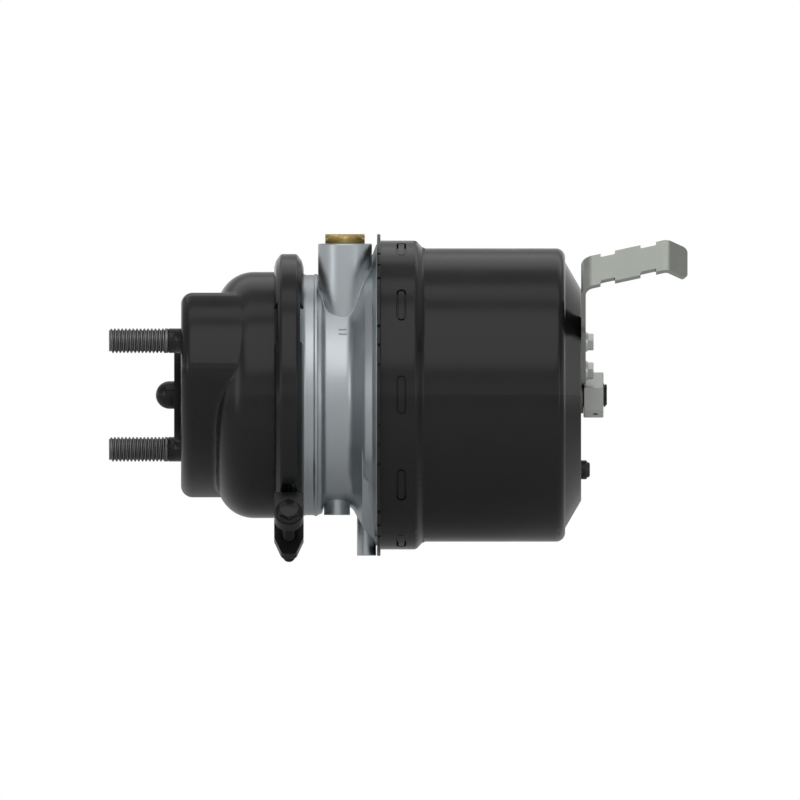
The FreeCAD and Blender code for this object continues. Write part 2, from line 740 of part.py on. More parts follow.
def adapter_housing():
    """Die casting that closes both chambers, with the rod hub, ports and breather pipes."""
    body = turned([
        (adapter_face_x, 0, 0),
        (adapter_face_x, flange_r, 0),
        (adapter_face_x + flange_thickness, flange_r, 0.6),
        (adapter_face_x + flange_thickness + flange_slope + 1.2, bell_r, 1.5),
        (adapter_face_x + flange_thickness + flange_slope + 3.0, barrel_r, 2.0),
        (bead_x - 1.6, barrel_r, 1.5),
        (bead_x - 0.6, barrel_r + 0.6, 0.8),
        (bead_x + 0.6, barrel_r + 0.6, 0.8),
        (bead_x + 1.6, barrel_r - 0.2, 0.8),
        (barrel_end_x, barrel_r - 1.1, 1.2),
        (waist_x, waist_r, 2.0),
        (cone_x, waist_r, 7.0),
        (cone_x + 8.5, adapter_flange_r - 10.5, 5.0),
        (adapter_flange_x, adapter_flange_r - 6.2, 2.0),
        (seat_x - 0.5, adapter_flange_r + 0.2, 0.3),
        (seat_x, adapter_flange_r + 0.2, 0),
        (seat_x, spigot_r, 0),
        (spigot_end_x, spigot_r, 1.0),
        (spigot_end_x, 0, 0),
    ])
    bosses = []
    for side in (-1, 1):
        foot = FreeCAD.Vector(port_x, side * port_offset, 0)
        boss = rod(port_boss_r, foot + Z_AXIS * (waist_r * 0.6), foot + Z_AXIS * port_boss_top)
        rim = [edge for edge in boss.Edges if edge.BoundBox.ZMin > port_boss_top - 0.1]
        bosses.append(boss.makeFillet(1.0, rim))
    foot = FreeCAD.Vector(breather_boss_x, -breather_boss_offset, 0)
    bosses.append(rod(breather_boss_r, foot - Z_AXIS * (waist_r * 0.8), foot - Z_AXIS * breather_boss_end))
    foot = FreeCAD.Vector(breather_pipe_x, 0, 0)
    bosses.append(rod(breather_pipe_r, foot - Z_AXIS * waist_r, foot - Z_AXIS * breather_pipe_end))
    body = fused([body] + bosses)
    bowl = turned([
        (adapter_face_x - 1, 0, 0),
        (adapter_face_x - 1, bowl_r, 0),
        (bowl_turn_x, bowl_r - bowl_taper, 5.0),
        (bowl_knee_x, bowl_knee_r, 4.0),
        (web_front_x, bowl_floor_r, 4.0),
        (web_front_x, 0, 0),
    ])
    rear_hollow = turned([
        (spigot_end_x + 1, 0, 0),
        (spigot_end_x + 1, spigot_r - spigot_wall, 0),
        (seat_x + 3.1, spigot_r - spigot_wall - 1, 3.0),
        (seat_x - 1.4, spigot_r - spigot_wall - 5.1, 4.0),
        (web_rear_x + 2, waist_r - 8, 6.0),
        (web_rear_x, waist_r - 15, 4.0),
        (web_rear_x, 0, 0),
    ])
    body = body.cut(bowl.fuse(rear_hollow))
    hub = turned([
        (web_front_x + 1, 0, 0),
        (web_front_x + 1, hub_r, 0),
        (web_rear_x, hub_r + 1.5, 0),
        (hub_rear_x, hub_r, 1.0),
        (hub_rear_x, 0, 0),
    ])
    body = fused([body, hub])
    cuts = [
        rod(tube_r + free_clearance, X_AXIS * (web_front_x - 1), X_AXIS * (hub_rear_x + 1)),
        rod(hub_bore_r, X_AXIS * (bush_x - 2 * tube_seal_r), X_AXIS * (hub_rear_x + 1)),
        turned([
            (pocket_x - pocket_width / 2 - 0.5, band_r - spring_wall - pocket_depth - 0.5, 0.5),
            (pocket_x - pocket_width / 2 - 0.5, band_r, 0),
            (pocket_x + pocket_width / 2 + 0.5, band_r, 0),
            (pocket_x + pocket_width / 2 + 0.5, band_r - spring_wall - pocket_depth - 0.5, 0.5),
        ]),
        turned([
            (ring_groove_x, spigot_r - ring_groove_depth, 0.3),
            (ring_groove_x, band_r, 0),
            (ring_groove_x + ring_groove_width, band_r, 0),
            (ring_groove_x + ring_groove_width, spigot_r - ring_groove_depth, 0.3),
        ]),
    ]
    for side in (-1, 1):
        top = FreeCAD.Vector(port_x, side * port_offset, port_boss_top + 1)
        cuts.append(rod(fitting_thread_r + fixed_clearance, top - Z_AXIS * (fitting_thread_length + 2), top))
    pipe_end = FreeCAD.Vector(breather_pipe_x, 0, -breather_pipe_end - 1)
    cuts.append(rod(breather_pipe_bore_r, pipe_end, pipe_end + Z_AXIS * breather_bore_depth))
    boss_end = FreeCAD.Vector(breather_boss_x, -breather_boss_offset, -breather_boss_end - 1)
    cuts.append(rod(breather_pipe_bore_r, boss_end, boss_end + Z_AXIS * (breather_bore_depth / 2)))
    for cut in cuts:
        body = body.cut(cut)
    return body


def port_fitting(side):
    """Brass reducer screwed into a port boss, with a female thread for the hose."""
    seat = FreeCAD.Vector(port_x, side * port_offset, port_boss_top)
    top = seat + Z_AXIS * fitting_height
    head = hex_head(fitting_across_flats, seat, Z_AXIS * fitting_height, X_AXIS)
    shank = rod(fitting_thread_r, seat - Z_AXIS * fitting_thread_length, seat)
    bore = rod(fitting_bore_r, top - Z_AXIS * fitting_bore_depth, top + Z_AXIS)
    through = rod(fitting_bore_r * 0.6, seat - Z_AXIS * (fitting_thread_length + 1), top)
    return fused([head, shank]).cut(bore).cut(through)


def guide_bush():
    """Plastic bush in the hub that the push tube runs in."""
    return turned([
        (bush_x, tube_r + running_clearance, 0.4),
        (bush_x, hub_bore_r - fixed_clearance, 0.4),
        (bush_x + bush_length, hub_bore_r - fixed_clearance, 0.4),
        (bush_x + bush_length, tube_r + running_clearance, 0.4),
    ])


def tube_seals():
    """Two O-rings in the hub, one at each end of the bush."""
    ring_r = hub_bore_r - fixed_clearance - tube_seal_r
    rings = []
    for x in (bush_x - tube_seal_r, bush_x + bush_length + tube_seal_r):
        rings.append(Part.makeTorus(ring_r, tube_seal_r, X_AXIS * x, X_AXIS))
    return Part.makeCompound(rings)


def seal_retainer():
    """Snap ring that keeps the seals and bush in the hub."""
    start = bush_x + bush_length + 2 * tube_seal_r
    return turned([
        (start, tube_r + 1, 0.3),
        (start, hub_bore_r - fixed_clearance, 0),
        (start + snap_ring_height, hub_bore_r - fixed_clearance, 0),
        (start + snap_ring_height, tube_r + 1, 0.3),
    ])


def housing_seal():
    """O-ring between the adapter's spigot and the spring housing's band."""
    outer_r = band_r - spring_wall - fixed_clearance
    section_r = (outer_r - (spigot_r - ring_groove_depth + fixed_clearance)) / 2
    middle = X_AXIS * (ring_groove_x + ring_groove_width / 2)
    return Part.makeTorus(outer_r - section_r, section_r, middle, X_AXIS)


def pocket_shape(polar, inner_r, outer_r):
    """A rounded slot's worth of the band between two radii."""
    side = direction(polar)
    across = X_AXIS.cross(side)
    centre = X_AXIS * pocket_x + side * (inner_r - 3)
    half_x = X_AXIS * (pocket_width / 2)
    half_y = across * (pocket_length / 2)
    round_r = pocket_width / 2 - 0.01
    outline = [
        (centre - half_x - half_y, round_r),
        (centre + half_x - half_y, round_r),
        (centre + half_x + half_y, round_r),
        (centre - half_x + half_y, round_r),
    ]
    block = prism(outline, side * (outer_r - inner_r + 6))
    ring = turned([
        (pocket_x - pocket_width, inner_r, 0),
        (pocket_x - pocket_width, outer_r, 0),
        (pocket_x + pocket_width, outer_r, 0),
        (pocket_x + pocket_width, inner_r, 0),
    ], 24, polar - 12)
    return block.common(ring)


def spring_housing():
    """Pressed cup with a turned-out lip, crimped to the adapter at ten pockets."""
    shell = turned([(x, r, c) for x, r, c in sheet_outline([
        (seat_x + lip_thickness, band_r, 0),
        (band_end_x, band_r, 4.0),
        (spring_start_x, spring_r, 3.0),
        (spring_end_x, spring_r, spring_corner_r),
        (spring_end_x, step_r, 1.5),
        (rear_x, rear_r, 2.0),
        (rear_x, collar_r + 0.1, 0),
    ], -spring_wall)])
    lip = turned([
        (seat_x, band_r - spring_wall, 0),
        (seat_x, lip_r, 0.8),
        (seat_x + lip_thickness, lip_r, 0.8),
        (seat_x + lip_thickness, band_r - spring_wall, 0),
    ])
    shell = fused([shell, lip])
    bumps = []
    pockets = []
    notches = []
    inner_r = band_r - spring_wall
    for turn in range(pocket_count):
        polar = 360 / pocket_count * turn
        bumps.append(pocket_shape(polar, inner_r - pocket_depth, inner_r + 0.5))
        pockets.append(pocket_shape(polar, band_r - pocket_depth, band_r + 0.5))
        for step in (-1, 0, 1):
            notch_polar = polar + 180 / pocket_count + step * lip_notch_pitch
            side = direction(notch_polar)
            across = X_AXIS.cross(side) * (lip_notch_width / 2)
            foot = X_AXIS * (seat_x - 1) + side * (band_r + 1.2)
            notches.append(prism([
                (foot - across, 0),
                (foot + across, 0),
                (foot + across + side * 8, 0),
                (foot - across + side * 8, 0),
            ], X_AXIS * (lip_thickness + 2)))
    shell = shell.fuse(bumps).cut(Part.makeCompound(pockets)).cut(Part.makeCompound(notches))
    holes = [rod(rear_plug_shank_r + 0.1, FreeCAD.Vector(rear_x - 5, 0, rear_plug_z),
                 FreeCAD.Vector(rear_x + 1, 0, rear_plug_z))]
    for place in screw_places:
        side = direction(bracket_polar) * place
        holes.append(rod(screw_r + 0.1, X_AXIS * (rear_x - 5) + side, X_AXIS * (rear_x + 1) + side))
    return shell.cut(Part.makeCompound(holes))


def spring_piston():
    """Deep cast piston: the spring sits in its cup and the hub fits into its well."""
    skirt_end_x = piston_skirt_x + piston_skirt_length
    well_x = piston_floor_x + piston_well_depth
    body = turned([
        (well_x, tube_r + fixed_clearance, 0),
        (well_x, piston_well_r, 2.0),
        (piston_floor_x, piston_well_r, 3.0),
        (piston_floor_x, piston_floor_r, 5.0),
        (piston_floor_x + 13, piston_shoulder_r, 6.0),
        (piston_skirt_x - 2, skirt_r - 3.8, 2.0),
        (piston_skirt_x, skirt_r, 0.6),
        (skirt_end_x, skirt_r, 0.6),
        (skirt_end_x, skirt_r - 5.3, 1.0),
        (piston_skirt_x, skirt_r - 8.3, 3.0),
        (piston_floor_x + 15.5, piston_shoulder_r - 5, 6.0),
        (piston_floor_x + piston_sheet, piston_floor_r - 1.0, 4.0),
        (piston_floor_x + piston_sheet, piston_well_r + piston_sheet, 3.0),
        (well_x + piston_sheet, piston_well_r + piston_sheet, 2.0),
        (well_x + piston_sheet, tube_r + fixed_clearance, 0),
    ])
    for start, width, depth in ((piston_skirt_x + seal_groove_at, lip_seal_width + 0.4, lip_seal_depth),
                                (piston_skirt_x + guide_groove_at, guide_width + 0.4, guide_depth)):
        body = body.cut(turned([
            (start, skirt_r - depth, 0.3),
            (start, skirt_r + 1, 0),
            (start + width, skirt_r + 1, 0),
            (start + width, skirt_r - depth, 0.3),
        ]))
    return body


def piston_lip_seal():
    """Rubber lip seal in the piston's front groove."""
    bore_r = spring_r - spring_wall
    inner_r = bore_r - piston_gap - lip_seal_depth + fixed_clearance
    start = piston_skirt_x + seal_groove_at + 0.2
    return turned([
        (start, inner_r, 0.4),
        (start, bore_r - free_clearance, 0.6),
        (start + lip_seal_width * 0.4, bore_r - 1.2, 0.5),
        (start + lip_seal_width, bore_r - 1.0, 0.5),
        (start + lip_seal_width, inner_r, 0.4),
    ])


def piston_guide_ring():
    """Plastic strip that the piston slides on in the housing's bore."""
    bore_r = spring_r - spring_wall
    inner_r = bore_r - piston_gap - guide_depth + fixed_clearance
    start = piston_skirt_x + guide_groove_at + 0.2
    return turned([
        (start, inner_r, 0),
        (start, bore_r - running_clearance, 0.3),
        (start + guide_width, bore_r - running_clearance, 0.3),
        (start + guide_width, inner_r, 0),
    ])


def push_tube():
    """Steel tube pressed into the piston: it pushes the diaphragm and hides the screw."""
    return turned([
        (tube_front_x, tube_bore_r, 0.4),
        (tube_front_x, tube_r, 0.6),
        (tube_rear_x, tube_r, 0.6),
        (tube_rear_x, tube_bore_r, 0.4),
    ])


def tube_cap():
    """Plug that closes the tube's front end and bears on the diaphragm."""
    face_x = web_front_x + 2 * fixed_clearance
    return turned([
        (face_x, 0, 0),
        (face_x, tube_r - 0.1, 1.5),
        (tube_front_x, tube_r - 0.1, 0),
        (tube_front_x, tube_bore_r - fixed_clearance, 0),
        (tube_front_x + 3, tube_bore_r - fixed_clearance, 0.5),
        (tube_front_x + 3, 0, 0),
    ])


def stop_bush():
    """Bush in the tube's rear end that the screw's head pulls on."""
    return turned([
        (tube_rear_x - stop_bush_length, spindle_r + 0.35, 0.3),
        (tube_rear_x - stop_bush_length, tube_bore_r - fixed_clearance, 0.3),
        (tube_rear_x, tube_bore_r - fixed_clearance, 0.3),
        (tube_rear_x, spindle_r + 0.35, 0.3),
    ])


def power_spring():
    """Heavy coil that applies the parking brake."""
    return coil(power_wire_r, power_front_r, power_rear_r, piston_floor_x + piston_sheet,
                rear_x - spring_wall, power_turns)


def spindle_bush():
    """Threaded steel bush welded into the rear wall."""
    inner_x = rear_x - spring_wall
    return turned([
        (inner_x - bush_boss_height, spindle_r + fixed_clearance, 0.5),
        (inner_x - bush_boss_height, collar_r + 1, 1.0),
        (inner_x - bush_flange_height, collar_r + 1, 0.5),
        (inner_x - bush_flange_height, collar_r + 5, 0.8),
        (inner_x, collar_r + 5, 0),
        (inner_x, collar_r, 0),
        (rear_x + collar_height, collar_r, 0.4),
        (rear_x + collar_height, spindle_r + fixed_clearance, 0.5),
    ])


def release_spindle():
    """Release screw with its head inside the push tube."""
    head_end_x = spindle_head_x + spindle_head_height
    screw = turned([
        (spindle_head_x, 0, 0),
        (spindle_head_x, spindle_head_r, 1.5),
        (head_end_x, spindle_head_r, 0.5),
        (head_end_x, spindle_r, 0),
        (spindle_end_x - 1.2, spindle_r, 0),
        (spindle_end_x, spindle_r - 1.2, 0),
        (spindle_end_x, 0, 0),
    ])
    side = direction(release_nut_polar - 60)
    middle = X_AXIS * pin_x
    return screw.cut(rod(pin_r, middle - side * release_across_flats, middle + side * release_across_flats))


def thrust_washer():
    """Washer between the screw's head and the stop bush, which it presses when caging."""
    start = spindle_head_x + spindle_head_height
    return turned([
        (start, spindle_r + running_clearance, 0.3),
        (start, spindle_head_r, 0.5),
        (start + thrust_washer_height, spindle_head_r, 0.5),
        (start + thrust_washer_height, spindle_r + running_clearance, 0.3),
    ])


def release_nut():
    """Hexagon pinned to the screw's outer end."""
    start = X_AXIS * release_nut_x
    nut = hexagon(release_across_flats, start, X_AXIS * release_nut_height, direction(release_nut_polar))
    ends = [edge for edge in nut.Edges if edge.BoundBox.XLength < 0.01]
    nut = nut.makeChamfer(0.5, ends)
    side = direction(release_nut_polar - 60)
    middle = X_AXIS * pin_x
    nut = nut.cut(rod(spindle_r + fixed_clearance, start - X_AXIS, start + X_AXIS * (release_nut_height + 1)))
    return nut.cut(rod(pin_r, middle - side * release_across_flats, middle + side * release_across_flats))


def release_pin():
    """Spring pin through the nut and the screw."""
    side = direction(release_nut_polar - 60) * (release_across_flats / 2 - 1.0)
    middle = X_AXIS * pin_x
    pin = rod(pin_r - fixed_clearance, middle - side, middle + side)
    return pin.cut(rod(pin_r * 0.5, middle - side * 1.1, middle + side * 1.1))


def rear_plug():
    """Moulded plug in the rear wall's vent."""
    plug = turned([
        (rear_x - spring_wall - 0.6, 0, 0),
        (rear_x - spring_wall - 0.6, rear_plug_shank_r, 0.4),
        (rear_x, rear_plug_shank_r, 0),
        (rear_x, rear_plug_r, 0),
        (rear_x + rear_plug_height * 0.65, rear_plug_r, 0.6),
        (rear_x + rear_plug_height * 0.65, rear_plug_r - 1.0, 0),
        (rear_x + rear_plug_height, rear_plug_r - 1.6, 1.4),
        (rear_x + rear_plug_height, 0, 0),
    ])
    plug.translate(Z_AXIS * rear_plug_z)
    return plug


def vent_plugs():
    """Small plugs in the service housing's vents."""
    plugs = []
    for polar in vent_polars:
        side = direction(polar)
        foot = X_AXIS * vent_x
        shank = rod(vent_r - 0.1, foot + side * (bell_r - service_wall - 1.5), foot + side * (bell_r + 0.5))
        head = rod(vent_r + 2, foot + side * (bell_r + 0.25), foot + side * (bell_r + 2.2))
        rim = [edge for edge in head.Edges if edge.BoundBox.Center.distanceToPoint(
            foot + side * (bell_r + 2.2)) < 0.1]
        plugs.append(fused([head.makeFillet(0.8, rim), shank]))
    return Part.makeCompound(plugs)


def hose_bracket():
    """Bent strip: a foot on the rear face and an arm that holds the hoses."""
    out = direction(bracket_polar)
    across = X_AXIS.cross(out)
    half = bracket_width / 2
    foot_place = screw_places[0]
    corners = [
        (foot_place - bracket_foot_r, -bracket_foot_r, bracket_foot_r - 0.01),
        (bracket_widening, -bracket_foot_r, 4.0),
        (bracket_widening + 10, -half, 4.0),
        (bracket_bend_start - 5, -half, 0),
        (bracket_bend_start - 5, half, 0),
        (bracket_widening + 10, half, 4.0),
        (bracket_widening, bracket_foot_r, 4.0),
        (foot_place - bracket_foot_r, bracket_foot_r, bracket_foot_r - 0.01),
    ]
    foot = prism([(X_AXIS * rear_x + out * a + across * b, c) for a, b, c in corners],
                 X_AXIS * bracket_sheet)
    turn = math.radians(bracket_bend_angle)
    # the bend's outer tangent lengths put the arm where the bend ends
    reach = bracket_bend_r * math.tan(turn / 2)
    corner_out = bracket_bend_start + reach
    tip_turn = math.radians(bracket_tip_turn)
    tip_reach = bracket_tip_bend_r * math.tan(tip_turn / 2)
    arm = bracket_arm_length + reach + tip_reach
    knee = (rear_x + arm * math.sin(turn), corner_out + arm * math.cos(turn))
    tip_angle = math.pi / 2 - turn - tip_turn
    tip = bracket_tip_length + tip_reach
    end = (knee[0] + tip * math.cos(tip_angle), knee[1] + tip * math.sin(tip_angle))
    path = sheet_outline([
        (rear_x, bracket_bend_start - 6, 0),
        (rear_x, corner_out, bracket_bend_r),
        (knee[0], knee[1], bracket_tip_bend_r),
        (end[0], end[1], 0),
    ], -bracket_sheet)
    strip = prism([(X_AXIS * x + out * a - across * half, c) for x, a, c in path], across * bracket_width)
    tip_point = X_AXIS * end[0] + out * end[1]
    corners = [edge for edge in strip.Edges if edge.Length < bracket_sheet + 0.01
               and abs(abs((edge.BoundBox.Center - tip_point).dot(across)) - half) < 0.01
               and edge.BoundBox.Center.distanceToPoint(tip_point) < half + bracket_sheet]
    strip = strip.makeFillet(3.5, corners)
    bracket = fused([foot, strip])
    cuts = []
    for start, end in bracket_notches:
        for side in (1, -1):
            near = across * (side * (half - bracket_notch_depth))
            far = across * (side * (half + 2))
            base = out * (bracket_bend_start - 5)
            cuts.append(prism([
                (base + X_AXIS * (rear_x + start) + near, 0.8),
                (base + X_AXIS * (rear_x + end) + near, 0.8),
                (base + X_AXIS * (rear_x + end) + far, 0),
                (base + X_AXIS * (rear_x + start) + far, 0),
            ], out * 50))
    for place in screw_places:
        cuts.append(rod(screw_r + 0.3, X_AXIS * (rear_x - 1) + out * place,
                        X_AXIS * (rear_x + bracket_sheet + 1) + out * place))
    return bracket.cut(Part.makeCompound(cuts))


def bracket_screws():
    """Two flanged hexagon screws through the bracket's foot."""
    screws = []
    for place in screw_places:
        seat = X_AXIS * (rear_x + bracket_sheet) + direction(bracket_polar) * place
        flange = Part.makeCone(screw_flange_r, screw_flange_r - 0.6, 1.4, seat, X_AXIS)
        head = hex_head(screw_across_flats, seat, X_AXIS * screw_head_height, direction(bracket_polar))
        shank = rod(screw_r, seat - X_AXIS * (bracket_sheet + spring_wall - 0.1), seat)
        screws.append(fused([flange, head, shank]))
    return Part.makeCompound(screws)


os.makedirs("parts", exist_ok=True)
save("service_housing", service_housing())
save("mounting_studs", mounting_studs())
save("mounting_face_seal", mounting_face_seal())
save("boot_retainer", boot_retainer())
save("rod_boot", rod_boot())
save("push_rod", push_rod())
save("pressure_plate", pressure_plate())
save("service_diaphragm", service_diaphragm())
save("return_spring", return_spring())
save("clamp_band", clamp_band())
save("clamp_bolt", clamp_bolt())
save("clamp_nut", clamp_nut())
save("adapter_housing", adapter_housing())
save("service_port_fitting", port_fitting(-1))
save("spring_port_fitting", port_fitting(1))
save("guide_bush", guide_bush())
save("tube_seals", tube_seals())
save("seal_retainer", seal_retainer())
save("housing_seal", housing_seal())
save("spring_housing", spring_housing())
save("spring_piston", spring_piston())
save("piston_lip_seal", piston_lip_seal())
save("piston_guide_ring", piston_guide_ring())
save("push_tube", push_tube())
save("tube_cap", tube_cap())
save("stop_bush", stop_bush())
save("power_spring", power_spring())
save("spindle_bush", spindle_bush())
save("release_spindle", release_spindle())
save("thrust_washer", thrust_washer())
save("release_nut", release_nut())
save("release_pin", release_pin())
save("rear_plug", rear_plug())
save("vent_plugs", vent_plugs())
save("hose_bracket", hose_bracket())
save("bracket_screws", bracket_screws())
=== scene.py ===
import math

import bpy
from mathutils import Matrix, Vector


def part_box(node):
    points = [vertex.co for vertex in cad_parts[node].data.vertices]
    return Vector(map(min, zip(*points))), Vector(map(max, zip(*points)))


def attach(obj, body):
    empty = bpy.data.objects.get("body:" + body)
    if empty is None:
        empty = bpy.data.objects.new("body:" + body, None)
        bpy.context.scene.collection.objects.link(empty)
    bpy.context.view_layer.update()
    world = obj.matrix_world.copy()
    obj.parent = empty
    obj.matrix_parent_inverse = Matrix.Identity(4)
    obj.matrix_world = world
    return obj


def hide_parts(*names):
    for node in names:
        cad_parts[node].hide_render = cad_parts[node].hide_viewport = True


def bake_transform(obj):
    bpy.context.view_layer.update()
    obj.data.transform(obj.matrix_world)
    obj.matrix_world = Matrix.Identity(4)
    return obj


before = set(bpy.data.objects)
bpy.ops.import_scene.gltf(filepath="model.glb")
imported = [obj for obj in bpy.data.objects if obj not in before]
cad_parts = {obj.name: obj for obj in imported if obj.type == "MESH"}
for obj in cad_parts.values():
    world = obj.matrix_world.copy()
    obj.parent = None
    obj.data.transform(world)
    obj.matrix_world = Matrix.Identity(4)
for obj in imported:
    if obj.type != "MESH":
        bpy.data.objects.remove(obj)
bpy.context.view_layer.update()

mm = 0.001


# Service housing
# The front shell is pressed from 3.5 mm steel sheet, with an oblong mounting pad on its bell.
# It is dipped in black cathodic paint, which bakes to a thin satin skin with a faint peel.

def linear(hex_colour):
    """Linear colour of an sRGB hex value."""
    parts = [int(hex_colour[i:i + 2], 16) / 255 for i in (1, 3, 5)]
    return [c / 12.92 if c <= 0.04045 else ((c + 0.055) / 1.055) ** 2.4 for c in parts] + [1.0]


def add_node(material, kind, settings, inputs):
    """Adds a node, sets its properties, and fills its inputs with values or links."""
    made = material.node_tree.nodes.new(kind)
    for name, value in settings.items():
        setattr(made, name, value)
    for name, value in inputs.items():
        if isinstance(value, bpy.types.NodeSocket):
            material.node_tree.links.new(value, made.inputs[name])
        else:
            made.inputs[name].default_value = value
    return made


def surface(name, colours, metallic, roughness, patch, grain, height,
            edge=0.4 * mm, stretch=(1, 1, 1), ior=None):
    """A finish of two near colours and roughnesses in patches, with a fine grain and soft edges.

    Patch and grain are sizes on the object, and the grain stands out by height.
    """
    material = bpy.data.materials.new(name)
    material.use_nodes = True
    shader = material.node_tree.nodes["Principled BSDF"]
    shader.inputs["Metallic"].default_value = metallic
    if ior:
        shader.inputs["IOR"].default_value = ior
    place = add_node(material, "ShaderNodeTexCoord", {}, {})
    run = add_node(material, "ShaderNodeMapping", {}, {"Vector": place.outputs["Object"], "Scale": stretch})
    patches = add_node(material, "ShaderNodeTexNoise", {}, {
        "Vector": run.outputs["Vector"], "Scale": 1 / patch, "Detail": 3.0, "Roughness": 0.6})
    colour = add_node(material, "ShaderNodeMix", {"data_type": "RGBA"}, {
        0: patches.outputs["Fac"], 6: linear(colours[0]), 7: linear(colours[1])})
    rough = add_node(material, "ShaderNodeMapRange", {}, {
        "Value": patches.outputs["Fac"], "From Min": 0.3, "From Max": 0.7,
        "To Min": roughness[0], "To Max": roughness[1]})
    grains = add_node(material, "ShaderNodeTexNoise", {}, {
        "Vector": run.outputs["Vector"], "Scale": 1 / grain, "Detail": 2.0, "Roughness": 0.5})
    soft_edge = add_node(material, "ShaderNodeBevel", {"samples": 4}, {"Radius": edge})
    bump = add_node(material, "ShaderNodeBump", {}, {
        "Height": grains.outputs["Fac"], "Distance": height, "Normal": soft_edge.outputs["Normal"]})
    links = material.node_tree.links
    links.new(colour.outputs[2], shader.inputs["Base Color"])
    links.new(rough.outputs["Result"], shader.inputs["Roughness"])
    links.new(bump.outputs["Normal"], shader.inputs["Normal"])
    return material


def give(material, *names):
    """Puts a material on CAD nodes, in place of the plain one that they came with."""
    for name in names:
        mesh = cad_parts[name].data
        mesh.materials.clear()
        mesh.materials.append(material)


# Baked dip paint is an even near-black with soft, broad highlights. It flows round every edge, and
# its peel makes the highlights waver a little. Its thin binder shines less than a varnish would.
dip_paint = surface("cathodic dip paint on steel", ("#18181a", "#1d1d1e"), 0.0, (0.2, 0.26),
                    patch=30 * mm, grain=1.6 * mm, height=0.012 * mm, edge=0.6 * mm, ior=1.34)
give(dip_paint, "service_housing")


# Mounting studs
# Two M16 studs stand out of the pad, their round heads welded inside it before the dip.
# The rolled thread is masked and keeps its grey phosphate, and the neck behind it is painted.

# points nearer than this are merged: a CAD mesh has finer details than a drawn one
cad_merge_gap = 0.0002 * mm
merge_gap = 0.001 * mm


def radial(polar):
    """The unit vector straight away from the X axis, at an angle above the near side."""
    return Vector((0, -math.cos(polar), math.sin(polar)))


def bare_copy(name, node):
    """A new piece with a merged copy of a CAD node's mesh, open in edit mode."""
    bpy.ops.object.select_all(action="DESELECT")
    piece = bpy.data.objects.new(name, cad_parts[node].data.copy())
    bpy.context.scene.collection.objects.link(piece)
    bpy.context.view_layer.objects.active = piece
    piece.select_set(True)
    bpy.ops.object.mode_set(mode="EDIT")
    bpy.ops.mesh.select_all(action="SELECT")
    bpy.ops.mesh.remove_doubles(threshold=cad_merge_gap)
    return piece


def saw_off(place, outward):
    """Cuts the open piece by a plane, drops the side that outward points to and closes the cut."""
    bpy.ops.mesh.select_all(action="SELECT")
    bpy.ops.mesh.bisect(plane_co=place, plane_no=outward, use_fill=True, clear_outer=True)


def repaint(piece, material):
    """Closes edit mode and gives the whole piece one material."""
    bpy.ops.object.mode_set(mode="OBJECT")
    piece.data.materials.clear()
    piece.data.materials.append(material)


def draw(name, points):
    """A new piece, open in edit mode, with one line drawn through (x, radius) points."""
    bpy.ops.object.select_all(action="DESELECT")
    x, r = points[0]
    bpy.ops.mesh.primitive_plane_add(size=mm, location=(x, 0, r))
    piece = bpy.context.object
    piece.name = name
    bpy.ops.object.transform_apply(location=True)
    bpy.ops.object.mode_set(mode="EDIT")
    bpy.ops.mesh.select_mode(type="VERT")
    bpy.ops.mesh.merge(type="CENTER")
    for (x0, r0), (x1, r1) in zip(points, points[1:]):
        bpy.ops.mesh.extrude_region_move(TRANSFORM_OT_translate={"value": (x1 - x0, 0, r1 - r0)})
    return piece


def threaded_bar(name, start, end, root_r, crest_r, pitch):
    """A bar along X with a rolled right-hand thread, closed at both ends."""
    first = start - pitch
    # the rolled form has a flat root, two flanks and a flat crest, at these shares of the pitch
    root_end, crest_start, crest_end = 0.16, 0.44, 0.72
    steps = 40
    piece = draw(name, [
        (first, root_r),
        (first + pitch * root_end, root_r),
        (first + pitch * crest_start, crest_r),
        (first + pitch * crest_end, crest_r),
        (first + pitch, root_r),
    ])
    bpy.ops.object.mode_set(mode="OBJECT")
    bpy.ops.object.modifier_add(type="SCREW")
    screw = piece.modifiers[0]
    screw.axis = "X"
    screw.screw_offset = pitch
    screw.iterations = math.ceil((end - start) / pitch) + 2
    screw.steps = steps
    screw.render_steps = steps
    bpy.ops.object.modifier_apply(modifier=screw.name)
    bpy.ops.object.mode_set(mode="EDIT")
    bpy.ops.mesh.select_all(action="SELECT")
    bpy.ops.mesh.remove_doubles(threshold=merge_gap)
    saw_off((start, 0, 0), (-1, 0, 0))
    saw_off((end, 0, 0), (1, 0, 0))
    bpy.ops.mesh.select_all(action="SELECT")
    bpy.ops.mesh.normals_make_consistent(inside=False)
    bpy.ops.object.mode_set(mode="OBJECT")
    return piece


def turn_off_corner(piece, tip_x, tip_r):
    """Limits the radius near a bar's tip, as the 42 degree cone that is turned before rolling."""
    slope = 0.9
    for vertex in piece.data.vertices:
        r = math.hypot(vertex.co.y, vertex.co.z)
        allowed = tip_r + slope * abs(vertex.co.x - tip_x)
        if r > allowed:
            vertex.co.y *= allowed / r
            vertex.co.z *= allowed / r


def joined(name, pieces, angle=35):
    """One piece from several, smooth where its faces meet at less than an angle."""
    bpy.ops.object.select_all(action="DESELECT")
    for piece in pieces:
        piece.select_set(True)
    bpy.context.view_layer.objects.active = pieces[0]
    if len(pieces) > 1:
        bpy.ops.object.join()
    pieces[0].name = name
    bpy.ops.object.shade_smooth_by_angle(angle=math.radians(angle))
    return pieces[0]


def copied(pattern, moves):
    """Copies of a piece, each with its own mesh moved by one of the matrices. The pattern goes."""
    copies = []
    for move in moves:
        copy = pattern.copy()
        copy.data = pattern.data.copy()
        copy.data.transform(move)
        bpy.context.scene.collection.objects.link(copy)
        copies.append(copy)
    bpy.data.objects.remove(pattern)
    return copies


